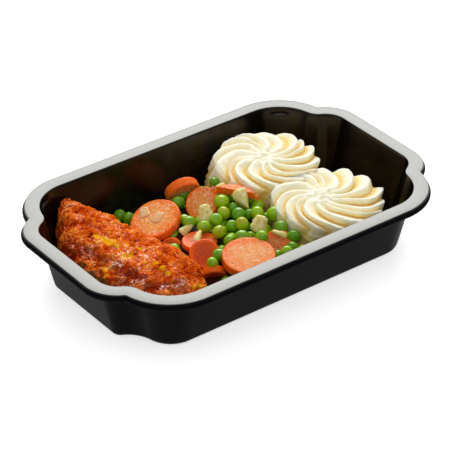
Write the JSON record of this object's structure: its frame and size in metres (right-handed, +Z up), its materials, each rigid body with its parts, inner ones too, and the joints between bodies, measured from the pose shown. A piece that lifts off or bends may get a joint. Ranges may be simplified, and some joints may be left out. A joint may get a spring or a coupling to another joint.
{
  "type": "ready meal in a black plastic tray",
  "caption": "Tray meal: a crumbed fillet, buttered peas, carrots and onion, and piped mashed potato in a black plastic tray.",
  "frame": {"origin": "on the surface the tray stands on, under the middle of the tray", "axes": "+X along the tray's length, from the fillet towards the mash; +Y across it, towards the far long side in the picture; +Z up"},
  "size_m": [0.229, 0.1484, 0.0385],
  "materials": {
    "tray": "satin black, glossy inside",
    "crumb": "greasy browned crumb",
    "mash": "soft satin",
    "pea": "buttery gloss",
    "carrot": "moist satin",
    "onion": "moist satin"
  },
  "bodies": {
    "root": {"tray": "tray", "crumbed_fillet": "crumb", "mash_rosette_back": "mash", "mash_rosette_front": "mash", "pea_heap": "pea", "carrot_slice_1": "carrot", "carrot_slice_2": "carrot", "carrot_slice_3": "carrot", "carrot_slice_4": "carrot", "carrot_slice_5": "carrot", "carrot_slice_6": "carrot", "carrot_slice_7": "carrot", "carrot_slice_8": "carrot", "carrot_slice_9": "carrot", "carrot_slice_10": "carrot", "onion_piece_1": "onion", "onion_piece_2": "onion", "onion_piece_3": "onion", "onion_piece_4": "onion", "onion_piece_5": "onion", "onion_piece_6": "onion", "onion_piece_7": "onion"}
  },
  "joints": []
}
